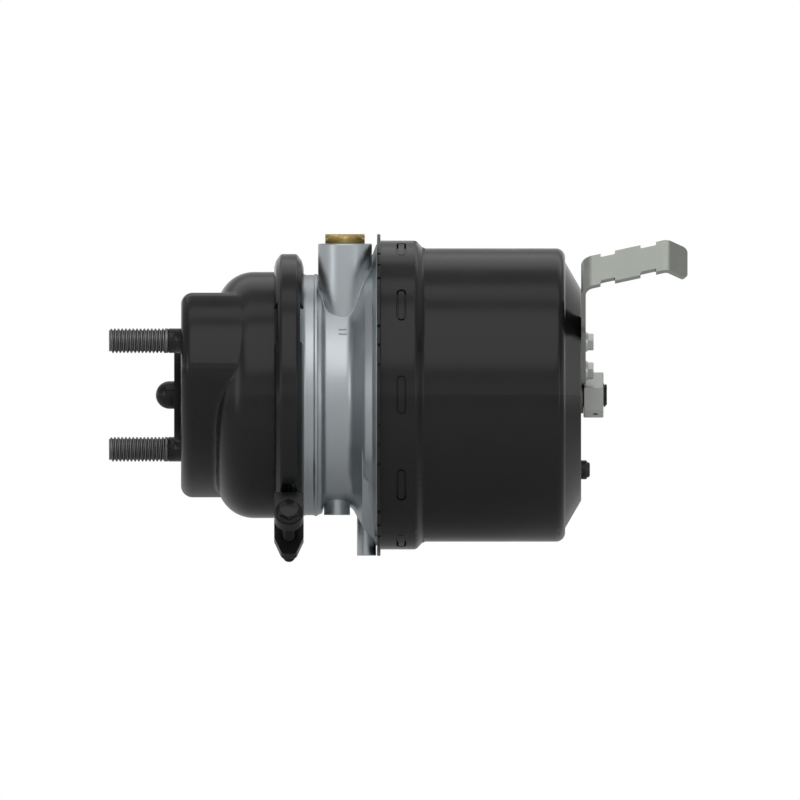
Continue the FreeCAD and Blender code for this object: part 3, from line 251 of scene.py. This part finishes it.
def turned(name, points, steps=96):
    """A piece turned round the X axis from a line of (x, radius) points, closed and facing outward."""
    piece = draw(name, points)
    bpy.ops.mesh.select_all(action="SELECT")
    bpy.ops.mesh.spin(steps=steps, angle=math.tau, center=(0, 0, 0), axis=(1, 0, 0))
    bpy.ops.mesh.select_all(action="SELECT")
    bpy.ops.mesh.remove_doubles(threshold=merge_gap)
    bpy.ops.mesh.normals_make_consistent(inside=False)
    bpy.ops.object.mode_set(mode="OBJECT")
    return piece


# Phosphate is a matt grey that still glints like steel on the crests of a thread. Its crystals
# are far too fine to show, so they are drawn 0.3 mm wide.
phosphate = surface("manganese-phosphated steel", ("#6b6b6b", "#7d7d7c"), 1.0, (0.36, 0.46),
                    patch=4 * mm, grain=0.3 * mm, height=0.01 * mm, edge=0.15 * mm)

stud_circle = 120.65 * mm
stud_line = math.radians(35.8)
stud_r = 8.0 * mm
stud_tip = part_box("mounting_studs")[0][0]
stud_chamfer = 1.4 * mm
thread_depth = 1.25 * mm
thread_end = -10.6 * mm
thread_overlap = 0.3 * mm
neck_start = -8.1 * mm
collar_inner_r = stud_r - 1.5 * mm
collar_round = 0.5 * mm
collar_chamfer = 0.7 * mm
# an M16 thread has a 2 mm pitch: the photograph draws it a little coarser
stud_pitch = 2.4 * mm
shanks = bare_copy("stud_shanks", "mounting_studs")
saw_off((neck_start, 0, 0), (-1, 0, 0))
repaint(shanks, dip_paint)
stud = threaded_bar("stud_thread", stud_tip, thread_end + thread_overlap,
                    root_r=stud_r - thread_depth, crest_r=stud_r, pitch=stud_pitch)
turn_off_corner(stud, stud_tip, stud_r - stud_chamfer)
collar = turned("stud_collar", [
    (thread_end, collar_inner_r),
    (thread_end, stud_r - collar_round),
    (thread_end + collar_round, stud_r),
    (neck_start - collar_chamfer, stud_r),
    (neck_start, stud_r - collar_chamfer),
    (neck_start, collar_inner_r),
    (thread_end, collar_inner_r),
], steps=48)
stud = joined("stud_front", [stud, collar])
stud.data.materials.append(phosphate)
stud_fronts = copied(stud, [
    Matrix.Translation(radial(stud_line) * (side * stud_circle / 2)) for side in (1, -1)])
studs = joined("threaded_studs", [shanks] + stud_fronts)
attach(studs, "chamber")
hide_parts("mounting_studs")


# Face seal and rod boot
# A moulded ring snaps into the rod opening and seals against the caliper. Behind it a bellows runs
# from a groove near the rod's tip to a sleeve welded inside the pad. Both are black nitrile rubber.

def apply_last(piece):
    """Applies the modifier that was added last to the piece, which is the active one."""
    bpy.ops.object.modifier_apply(modifier=piece.modifiers[-1].name)


def soften(piece, width, segments=3):
    """Rounds every edge that is sharper than 30 degrees."""
    bpy.context.view_layer.objects.active = piece
    bpy.ops.object.modifier_add(type="BEVEL")
    rounding = piece.modifiers[0]
    rounding.width = width
    rounding.segments = segments
    rounding.limit_method = "ANGLE"
    apply_last(piece)


# Moulded rubber is a deep, flat black that takes light only in a dull film. The skin of its mould
# is drawn 0.5 mm wide, coarser than it is, so that it shows.
nitrile = surface("moulded nitrile rubber", ("#0e0e0e", "#141413"), 0.0, (0.52, 0.64),
                  patch=12 * mm, grain=0.5 * mm, height=0.02 * mm, edge=0.2 * mm, ior=1.25)

seal = turned("face_seal", [(x * mm, r * mm) for x, r in [
    (-4.5, 29.4), (-4.5, 28.4), (-3.0, 27.6), (-2.4, 26.6), (-3.0, 25.9), (-3.0, 24.6), (-2.2, 23.6),
    (-2.2, 22.4), (5.4, 22.4), (5.4, 24.8), (4.6, 25.2), (4.0, 25.2), (4.0, 23.8), (0.5, 23.8),
    (0.5, 30.4), (-2.6, 30.4), (-4.5, 29.4)]])
soften(seal, 0.35 * mm)
joined("face_seal", [seal])
seal.data.materials.append(nitrile)
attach(seal, "chamber")
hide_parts("mounting_face_seal")
give(nitrile, "tube_seals", "housing_seal", "piston_lip_seal", "vent_plugs")

waves = 4
steps_per_wave = 4
boot_start, boot_end = 0.6 * mm, 20.6 * mm
valley_r, crest_r = 12.8 * mm, 19.2 * mm
neck_r = 9.3 * mm
boot_wall = 1.3 * mm
line = [(-3.4 * mm, neck_r), (-1.4 * mm, neck_r), (-0.6 * mm, 10.2 * mm)]
for i in range(waves * steps_per_wave + 1):
    turn = i / steps_per_wave * math.tau
    line.append((boot_start + (boot_end - boot_start) * i / (waves * steps_per_wave),
                 (valley_r + crest_r) / 2 - (crest_r - valley_r) / 2 * math.cos(turn)))
line += [(21.5 * mm, 14.4 * mm), (21.7 * mm, 19.0 * mm), (21.7 * mm, 24.0 * mm)]
boot = turned("rod_bellows", line)
bpy.ops.object.modifier_add(type="SUBSURF")
boot.modifiers[0].levels = 1
boot.modifiers[0].render_levels = 1
apply_last(boot)
bpy.ops.object.modifier_add(type="SOLIDIFY")
boot.modifiers[0].thickness = boot_wall
boot.modifiers[0].offset = 0.0
apply_last(boot)
joined("rod_bellows", [boot], 60)
boot.data.materials.append(nitrile)
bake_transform(boot)
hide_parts("rod_boot")


# Push rod and pressure plate
# The rod is turned steel with a hemispherical end, blackened and oiled. A collar welds it to the
# dished plate, which is pressed and zinc-plated and lies loose on the diaphragm.

# The oiled oxide is black with a narrow, slightly wet shine. The turning behind it is drawn as a
# faint 0.25 mm grain.
black_oxide = surface("black-oxide steel", ("#101011", "#191919"), 0.0, (0.24, 0.34),
                      patch=8 * mm, grain=0.25 * mm, height=0.004 * mm, edge=0.2 * mm, ior=1.35)
# Bright zinc is a pale neutral metal that blurs what it mirrors. Its crystals, a few hundredths of a
# millimetre, are drawn 0.35 mm wide.
zinc = surface("zinc-plated steel", ("#b4b7b4", "#c0c2be"), 1.0, (0.3, 0.4),
               patch=9 * mm, grain=0.35 * mm, height=0.006 * mm, edge=0.25 * mm)
give(black_oxide, "push_rod")
give(zinc, "pressure_plate", "boot_retainer")


# Return spring
# A conical coil of 4.5 mm wire stands between the pad and the plate. Its end coils lie flat,
# closed on themselves, and the wire is phosphated and oiled.

def coil_spring(name, wire_r, start, end, start_r, end_r, free_turns):
    """Round wire wound round the X axis, with one closed coil at each end."""
    steps_per_turn = 28
    wire_d = 2 * wire_r
    turns = free_turns + 2
    steps = int(turns * steps_per_turn)
    free = (end - start) - 3 * wire_d
    points = []
    for i in range(steps + 1):
        turn = turns * i / steps
        closed_start = min(turn, 1.0) * wire_d
        closed_end = max(turn - turns + 1, 0.0) * wire_d
        middle = min(max(turn - 1, 0.0) / free_turns, 1.0)
        x = start + wire_r + closed_start + free * middle + closed_end
        r = start_r + (end_r - start_r) * middle
        points.append((x, r * math.cos(turn * math.tau), r * math.sin(turn * math.tau)))
    wire = bpy.data.curves.new(name, "CURVE")
    wire.dimensions = "3D"
    wire.bevel_depth = wire_r
    wire.bevel_resolution = 3
    wire.use_fill_caps = True
    spline = wire.splines.new("POLY")
    spline.points.add(len(points) - 1)
    for point, place in zip(spline.points, points):
        point.co = (*place, 1)
    piece = bpy.data.objects.new(name, wire)
    bpy.context.scene.collection.objects.link(piece)
    bpy.ops.object.select_all(action="DESELECT")
    piece.select_set(True)
    bpy.context.view_layer.objects.active = piece
    bpy.ops.object.convert(target="MESH")
    return joined(name, [bpy.context.object], 50)


return_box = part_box("return_spring")
return_spring = coil_spring("return_coil", 2.25 * mm, return_box[0][0], return_box[1][0],
                            start_r=40 * mm, end_r=30 * mm, free_turns=4.0)
return_spring.data.materials.append(phosphate)
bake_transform(return_spring)
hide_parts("return_spring")


# Service diaphragm
# A cup of nitrile rubber over woven nylon. Its thick edge is clamped between the two flanges, and
# its wall rolls off the adapter's bowl as air pushes the plate forward.

diaphragm = turned("rolling_diaphragm", [(x * mm, r * mm) for x, r in [
    (98.1, 0.0), (98.1, 56.0), (97.2, 59.4), (93.6, 64.7), (91.0, 67.4), (86.2, 71.6), (84.0, 73.0),
    (78.0, 74.6), (72.2, 76.0), (72.1, 86.6), (71.4, 88.0), (68.9, 88.0), (68.2, 86.8), (68.2, 77.6),
    (69.6, 74.6), (71.0, 73.0), (78.0, 71.4), (84.0, 69.6), (88.6, 65.4), (91.8, 62.0), (94.6, 57.6),
    (95.1, 55.0), (95.1, 0.0)]])
joined("rolling_diaphragm", [diaphragm], 50)
diaphragm.data.materials.append(nitrile)
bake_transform(diaphragm)
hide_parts("service_diaphragm")


# Adapter housing
# The middle is one aluminium pressure die casting, shot-blasted to an even light skin. It has two
# port bosses, a breather boss and pipe, and a flat pad low on its near side.

# Shot blasting leaves a pale, cool grey that spreads highlights into soft bands, and the casting's
# edges stay round. The shot's dimples, about 0.2 mm, are drawn 0.8 mm wide so that they show.
die_cast = surface("shot-blasted die-cast aluminium", ("#aab0b3", "#b6bcbf"), 1.0, (0.34, 0.42),
                   patch=22 * mm, grain=0.8 * mm, height=0.012 * mm, edge=0.9 * mm)
give(die_cast, "adapter_housing")


def ring_segment(name, corners, polar, span, steps):
    """A block swept round the X axis from an outline of (x, radius) corners, its middle at an angle."""
    piece = draw(name, corners)
    bpy.ops.mesh.select_all(action="SELECT")
    bpy.ops.mesh.edge_face_add()
    bpy.ops.mesh.spin(steps=steps, angle=span, center=(0, 0, 0), axis=(1, 0, 0))
    bpy.ops.mesh.select_all(action="SELECT")
    bpy.ops.mesh.remove_doubles(threshold=merge_gap)
    bpy.ops.mesh.normals_make_consistent(inside=False)
    bpy.ops.object.mode_set(mode="OBJECT")
    middle = sum((vertex.co for vertex in piece.data.vertices), Vector())
    middle.x = 0
    piece.data.transform(middle.rotation_difference(radial(polar)).to_matrix().to_4x4())
    return piece


pad_polar = math.radians(-43)
pad_span = math.radians(56)
pad_front, pad_rear = 117.7 * mm, 126.5 * mm
# its hidden side stays inside the cone's wall, which opens toward the rear
pad_front_r, pad_rear_r, pad_rim_r = 83.5 * mm, 87.5 * mm, 99.0 * mm
pad_face = 89.4 * mm
ramp_point, ramp_out = (pad_front, -77.8 * mm, -34 * mm), (0.5, -0.83, -0.22)
foot_point, foot_out = (pad_front, 0, -86 * mm), (-0.7, 0, -0.7)
mark_pad = ring_segment("mark_pad", [
    (pad_front, pad_front_r),
    (pad_rear, pad_rear_r),
    (pad_rear, pad_rim_r),
    (pad_front, pad_rim_r),
], pad_polar, pad_span, 28)
bpy.ops.object.mode_set(mode="EDIT")
saw_off(radial(pad_polar) * pad_face, radial(pad_polar))
# its upper end ramps down to a point on the cone, and its lower end slopes toward the rim
saw_off(ramp_point, ramp_out)
saw_off(foot_point, foot_out)
bpy.ops.object.mode_set(mode="OBJECT")
soften(mark_pad, 0.5 * mm)
joined("mark_pad", [mark_pad])
mark_pad.data.materials.append(die_cast)
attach(mark_pad, "chamber")

# a plain number is cast on the waist below each port, and reads upward
waist_r = 71.9 * mm
number_x = 105.3 * mm
number_size = 7 * mm
port_marks = []
for number, polar, top in (("11", 35.0, -1), ("12", 145.0, 1)):
    bpy.ops.object.select_all(action="DESELECT")
    bpy.ops.object.text_add()
    mark = bpy.context.object
    mark.data.body = number
    mark.data.size = number_size
    mark.data.extrude = 0.45 * mm
    mark.data.bevel_depth = 0.12 * mm
    mark.data.align_x = "CENTER"
    mark.data.align_y = "CENTER"
    bpy.ops.object.convert(target="MESH")
    out = radial(math.radians(polar))
    upright = Vector((top, 0, 0))
    turn = Matrix((upright.cross(out), upright, out)).transposed().to_4x4()
    mark.data.transform(Matrix.Translation(out * waist_r + Vector((number_x, 0, 0))) @ turn)
    port_marks.append(mark)
marks = joined("port_numbers", port_marks)
marks.data.materials.append(die_cast)
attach(marks, "chamber")


# Port fittings
# Each boss takes a brass reducer, turned from hexagon bar, with a female M16 x 1.5 thread for
# the air line. The flats keep the bar's drawn finish.

# Drawn brass is a warm yellow with satin flats. The draw lines run up the bar and are drawn 0.4 mm
# apart, coarser than they are.
brass = surface("drawn brass bar", ("#b39a62", "#bda56e"), 1.0, (0.28, 0.38),
                patch=6 * mm, grain=0.4 * mm, height=0.006 * mm, edge=0.3 * mm, stretch=(1, 1, 0.15))
port_pitch = 1.5 * mm
# the tap's root leaves the crest of the thread that it cuts
port_crest_r, port_root_r = 7.15 * mm, 7.95 * mm
port_depth = 11.5 * mm
for node in ("service_port_fitting", "spring_port_fitting"):
    reducer = bare_copy(node + "_threaded", node)
    repaint(reducer, brass)
    low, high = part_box(node)
    mouth = ((low[0] + high[0]) / 2, (low[1] + high[1]) / 2, high[2])
    tap = threaded_bar("tap", -port_depth, port_pitch,
                       root_r=port_crest_r, crest_r=port_root_r, pitch=port_pitch)
    tap.data.transform(Matrix.Translation(mouth) @ Matrix.Rotation(-math.pi / 2, 4, "Y"))
    bpy.context.view_layer.objects.active = reducer
    bpy.ops.object.modifier_add(type="BOOLEAN")
    reducer.modifiers[0].operation = "DIFFERENCE"
    reducer.modifiers[0].object = tap
    apply_last(reducer)
    bpy.data.objects.remove(tap)
    joined(node + "_threaded", [reducer])
    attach(reducer, "chamber")
    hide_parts(node)


# Push tube guide
# The hub's bush and the piston's guide ring are turned from white acetal, which needs no oil.
# A snap ring of spring steel keeps the bush and its O-rings in the hub.

# Turned acetal is a milky off-white with a low sheen. The tool's feed marks are drawn 0.3 mm wide.
acetal = surface("turned acetal", ("#cfcabb", "#dad6c8"), 0.0, (0.35, 0.45),
                 patch=10 * mm, grain=0.3 * mm, height=0.008 * mm)
give(acetal, "guide_bush", "piston_guide_ring")
give(phosphate, "seal_retainer")


# Spring housing
# The rear cup is deep-drawn from 2.5 mm sheet and dipped black. Its band is staked into the
# adapter's groove at ten rounded tabs, each sheared free by a narrow outline.

give(dip_paint, "spring_housing")
tab_count = 10
tab_x = 143.2 * mm
tab_width, tab_length = 4.0 * mm, 22.8 * mm
tab_floor_r, tab_top_r = 98.3 * mm, 100.2 * mm
tab = ring_segment("tab", [
    (tab_x - tab_width / 2, tab_floor_r),
    (tab_x + tab_width / 2, tab_floor_r),
    (tab_x + tab_width / 2, tab_top_r),
    (tab_x - tab_width / 2, tab_top_r),
], 0, tab_length / tab_top_r, 14)
# the four upright edges of its ends are rounded until each end is a half circle
bpy.ops.object.mode_set(mode="EDIT")
bpy.ops.mesh.select_mode(type="EDGE")
bpy.ops.mesh.select_all(action="DESELECT")
bpy.ops.object.mode_set(mode="OBJECT")
tab_end = max(abs(vertex.co.z) for vertex in tab.data.vertices)
for edge in tab.data.edges:
    a, b = (tab.data.vertices[i].co for i in edge.vertices)
    edge.select = abs(a.x - b.x) < 0.01 * mm and min(abs(a.z), abs(b.z)) > tab_end * 0.97
bpy.ops.object.mode_set(mode="EDIT")
bpy.ops.mesh.bevel(offset=tab_width / 2 - 0.02 * mm, segments=6)
bpy.ops.object.mode_set(mode="OBJECT")
tabs = copied(tab, [
    Matrix.Rotation(math.tau * count / tab_count, 4, "X") for count in range(tab_count)])
staked = joined("staked_tabs", tabs)
soften(staked, 0.15 * mm, 1)
staked.data.materials.append(dip_paint)
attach(staked, "chamber")


# Spring piston and push tube
# The piston is an aluminium casting with a turned skirt. The steel tube pressed into it pushes
# the diaphragm's plate, and its cap and stop bush are zinc-plated too.

give(die_cast, "spring_piston")
give(zinc, "push_tube", "tube_cap", "stop_bush", "thrust_washer")


# Power spring
# A few coils of 12 mm chrome-silicon wire push the piston forward when the air leaves. The spring
# is shot-peened and then dipped in a dull grey-green zinc primer.

# Primer is a chalky dark green-grey with no shine of its own, and peening leaves it slightly rough.
primer = surface("zinc primer on spring steel", ("#2b332f", "#343c37"), 0.0, (0.45, 0.6),
                 patch=15 * mm, grain=0.8 * mm, height=0.03 * mm)
power_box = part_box("power_spring")
seat_gap = 0.2 * mm
power_spring = coil_spring("power_coil", 5.9 * mm, power_box[0][0] + seat_gap, power_box[1][0] - seat_gap,
                           start_r=52 * mm, end_r=58 * mm, free_turns=3.6)
power_spring.data.materials.append(primer)
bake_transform(power_spring)
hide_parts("power_spring")


# Release screw
# An M16 screw runs in a bush welded into the rear wall, and its head waits inside the push tube.
# The hexagon outside is held by a spring pin. The screw is blackened and the hexagon zinc-plated.

spindle_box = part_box("release_spindle")
screw_tip = spindle_box[1][0]
plain_length = 29 * mm
thread_start = spindle_box[0][0] + plain_length
screw_head = bare_copy("spindle_head", "release_spindle")
saw_off((thread_start, 0, 0), (1, 0, 0))
repaint(screw_head, black_oxide)
screw_thread = threaded_bar("spindle_thread", thread_start - thread_overlap, screw_tip,
                            root_r=6.7 * mm, crest_r=7.93 * mm, pitch=2.0 * mm)
turn_off_corner(screw_thread, screw_tip, 6.6 * mm)
screw_thread.data.materials.append(black_oxide)
spindle = joined("release_screw_threaded", [screw_head, screw_thread])
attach(spindle, "release_screw")
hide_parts("release_spindle")
give(zinc, "release_nut")
give(phosphate, "release_pin", "spindle_bush")


# Clamp band
# A channel of 3 mm sheet draws the two flanges together. It is cut back at three places so that it
# can close, and its ears take one M8 screw with a nut and washer, all dipped black with it.

give(dip_paint, "clamp_band", "clamp_nut")
closure = math.radians(-57)
closure_out = radial(closure)
closure_along = Vector((0, math.sin(closure), math.cos(closure)))
bolt_line_r, bolt_line_x = 104.7 * mm, 70.15 * mm
bolt_line = closure_out * bolt_line_r + Vector((bolt_line_x, 0, 0))
tail_from = -33 * mm
thread_from = 4 * mm
bolt = bare_copy("clamp_bolt_head", "clamp_bolt")
saw_off(bolt_line + closure_along * thread_from, -closure_along)
repaint(bolt, dip_paint)
bolt_thread = threaded_bar("clamp_bolt_thread", tail_from, thread_from + 0.2 * mm,
                           root_r=3.35 * mm, crest_r=3.95 * mm, pitch=1.25 * mm)
turn_off_corner(bolt_thread, tail_from, 3.2 * mm)
across = closure_along.cross(closure_out)
lay = Matrix((closure_along, closure_out, across)).transposed().to_4x4()
bolt_thread.data.transform(Matrix.Translation(bolt_line) @ lay)
bolt_thread.data.materials.append(dip_paint)
flange = turned("clamp_screw_flange", [(x * mm, r * mm) for x, r in [
    (21.0, 3.6), (21.0, 8.8), (21.5, 9.0), (22.2, 8.6), (23.4, 6.3), (23.4, 3.6), (21.0, 3.6)]], steps=64)
flange.data.transform(Matrix.Translation(bolt_line) @ lay)
flange.data.materials.append(dip_paint)
clamp_screw = joined("clamp_screw", [bolt, bolt_thread, flange])
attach(clamp_screw, "chamber")
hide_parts("clamp_bolt")


# Rear plug
# The rear wall's vent takes a push-in plug, moulded in black polyamide. The mould is spark-eroded,
# which leaves a fine, even texture.

# Textured polyamide is a soft black whose highlights break up. The texture is drawn 0.4 mm wide.
polyamide = surface("moulded polyamide", ("#121212", "#181818"), 0.0, (0.38, 0.48),
                    patch=8 * mm, grain=0.4 * mm, height=0.015 * mm)
give(polyamide, "rear_plug")


# Hose bracket
# A strip of 3 mm steel, blanked with notches along both edges, bent and zinc-plated. Two flanged
# screws hold its foot on the rear wall.

# The passivate over the zinc tints it grey-green and dulls it a little. Its grain is drawn 0.4 mm wide.
passivate = surface("zinc plate with a grey-green passivate", ("#a3a7a1", "#aeb2ab"), 1.0, (0.3, 0.4),
                    patch=10 * mm, grain=0.4 * mm, height=0.008 * mm, edge=0.3 * mm)
give(passivate, "hose_bracket")
give(zinc, "bracket_screws")


# Floor, light and camera
# The camera stands level with the object and square to its side, as in a catalogue picture.
# A tall soft box stands in front, with one overhead, one behind and a narrow strip at each side.

photo_scale = 0.65 * mm
photo_pixels = 800
# the photograph's column of the mounting face and row of the push rod's axis
face_column, axis_row = 181, 395
photo_middle = photo_pixels // 2
view_centre = Vector(((photo_middle - face_column) * photo_scale, 0, (axis_row - photo_middle) * photo_scale))
camera = bpy.data.objects.new("camera", bpy.data.cameras.new("camera"))
bpy.context.scene.collection.objects.link(camera)
camera.data.type = "ORTHO"
camera.data.ortho_scale = photo_pixels * photo_scale
camera.location = view_centre + Vector((0, -2.0, 0))
camera.rotation_euler = (math.radians(90), 0, 0)
camera.data.clip_end = 20
bpy.context.scene.camera = camera

world = bpy.data.worlds.new("studio")
bpy.context.scene.world = world
world.use_nodes = True
background = world.node_tree.nodes["Background"]
light_path = add_node(world, "ShaderNodeLightPath", {}, {})
seen = add_node(world, "ShaderNodeMath", {"operation": "MAXIMUM"}, {
    0: light_path.outputs["Is Camera Ray"], 1: light_path.outputs["Is Transmission Ray"]})
seen_too = add_node(world, "ShaderNodeMath", {"operation": "MAXIMUM"}, {
    0: seen.outputs[0], 1: light_path.outputs["Is Glossy Ray"]})
# the backdrop is white round the horizon, and the studio is dimmer high above it
backdrop_level, studio_level = 1.0, 0.4
direction = add_node(world, "ShaderNodeTexCoord", {}, {})
direction_xyz = add_node(world, "ShaderNodeSeparateXYZ", {}, {"Vector": direction.outputs["Generated"]})
height = add_node(world, "ShaderNodeMath", {"operation": "ABSOLUTE"}, {0: direction_xyz.outputs["Z"]})
backdrop = add_node(world, "ShaderNodeMapRange", {"interpolation_type": "SMOOTHSTEP"}, {
    "Value": height.outputs[0], "From Min": 0.05, "From Max": 0.35,
    "To Min": backdrop_level, "To Max": studio_level})
level = add_node(world, "ShaderNodeMapRange", {}, {
    "Value": seen_too.outputs[0], "To Min": studio_level, "To Max": backdrop.outputs["Result"]})
world.node_tree.links.new(level.outputs[0], background.inputs["Strength"])
background.inputs["Color"].default_value = (1, 1, 1, 1)


def soft_box(name, place, target, width, height, power):
    """An area lamp at a place, turned toward a target."""
    lamp = bpy.data.lights.new(name, "AREA")
    lamp.shape = "RECTANGLE"
    lamp.size = width
    lamp.size_y = height
    lamp.energy = power
    holder = bpy.data.objects.new(name, lamp)
    bpy.context.scene.collection.objects.link(holder)
    holder.location = place
    holder.rotation_euler = (Vector(target) - Vector(place)).to_track_quat("-Z", "Y").to_euler()


middle = (0.14, 0, 0)
soft_box("overhead box", (0.14, -0.1, 1.4), middle, 1.6, 0.4, 2)
soft_box("front box", (0.14, -1.0, 1.0), middle, 1.6, 1.3, 8)
soft_box("rear box", (0.14, 0.75, 0.95), middle, 1.6, 0.6, 1.9)
soft_box("left strip", (-0.9, -0.75, 0.0), middle, 0.25, 1.2, 1.8)
soft_box("right strip", (1.1, -1.0, 0.0), middle, 0.1, 1.2, 1.2)

floor_level = -0.16
bpy.ops.object.select_all(action="DESELECT")
bpy.ops.mesh.primitive_plane_add(size=12, location=(middle[0], 0, floor_level))
floor = bpy.context.object
floor.name = "floor"
# a plain matt paint, off-white
floor_paint = bpy.data.materials.new("studio floor")
floor_paint.use_nodes = True
floor_shader = floor_paint.node_tree.nodes["Principled BSDF"]
floor_shader.inputs["Base Color"].default_value = linear("#e0e0e0")
floor_shader.inputs["Roughness"].default_value = 0.8
floor.data.materials.append(floor_paint)

bpy.context.scene.view_settings.view_transform = "Standard"
